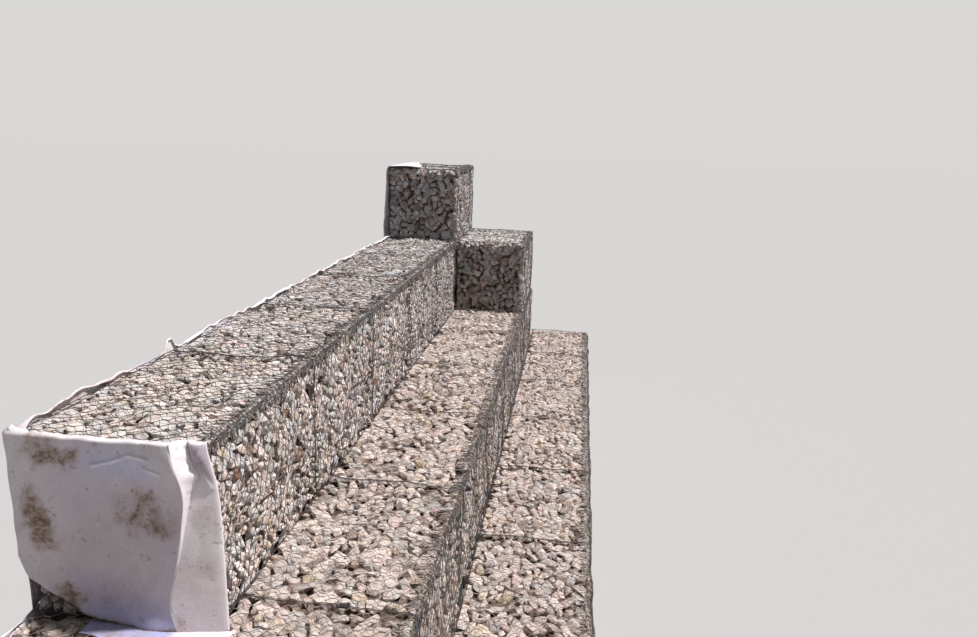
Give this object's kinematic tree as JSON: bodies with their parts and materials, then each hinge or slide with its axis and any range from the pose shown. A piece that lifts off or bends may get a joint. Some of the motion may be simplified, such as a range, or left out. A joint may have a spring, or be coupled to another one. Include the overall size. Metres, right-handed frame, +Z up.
{
  "type": "gabion wall",
  "caption": "Stepped gabion retaining wall: stone-filled wire baskets in three courses set back one basket each, with raised end baskets and geotextile on the back and near end.",
  "frame": {"origin": "on the underside, at the middle of the base course in plan", "axes": "+X along the wall from its near end to its far end, -Y out of the stepped front, +Z up"},
  "size_m": [12, 3.029, 4.004],
  "materials": {
    "stone": "broken quarry stone, dusty and mixed in colour",
    "wire": "galvanised steel wire, dulled",
    "geotextile": "white non-woven felt with soil stains"
  },
  "bodies": {
    "root": {"back_hem": "geotextile", "back_sheet_base": "geotextile", "back_sheet_middle": "geotextile", "back_sheet_top": "geotextile", "base_back_fills": "stone", "base_back_wires": "wire", "base_front_fill_1": "stone", "base_front_fill_2": "stone", "base_front_fill_3": "stone", "base_front_fill_4": "stone", "base_front_fill_5": "stone", "base_front_fill_6": "stone", "base_front_fill_7": "stone", "base_front_fill_8": "stone", "base_front_wires": "wire", "base_middle_fills": "stone", "base_middle_wires": "wire", "corner_strip": "geotextile", "end_apron": "geotextile", "end_sheet": "geotextile", "middle_back_fills": "stone", "middle_back_wires": "wire", "middle_front_fill_1": "stone", "middle_front_fill_2": "stone", "middle_front_fill_3": "stone", "middle_front_fill_4": "stone", "middle_front_fill_5": "stone", "middle_front_fill_6": "stone", "middle_front_fill_7": "stone", "middle_front_wires": "wire", "raised_back_sheet": "geotextile", "raised_bench_fill": "stone", "raised_bench_wires": "wire", "raised_top_fill": "stone", "raised_top_wires": "wire", "top_fill_1": "stone", "top_fill_2": "stone", "top_fill_3": "stone", "top_fill_4": "stone", "top_fill_5": "stone", "top_fill_6": "stone", "top_wires": "wire"}
  },
  "joints": []
}
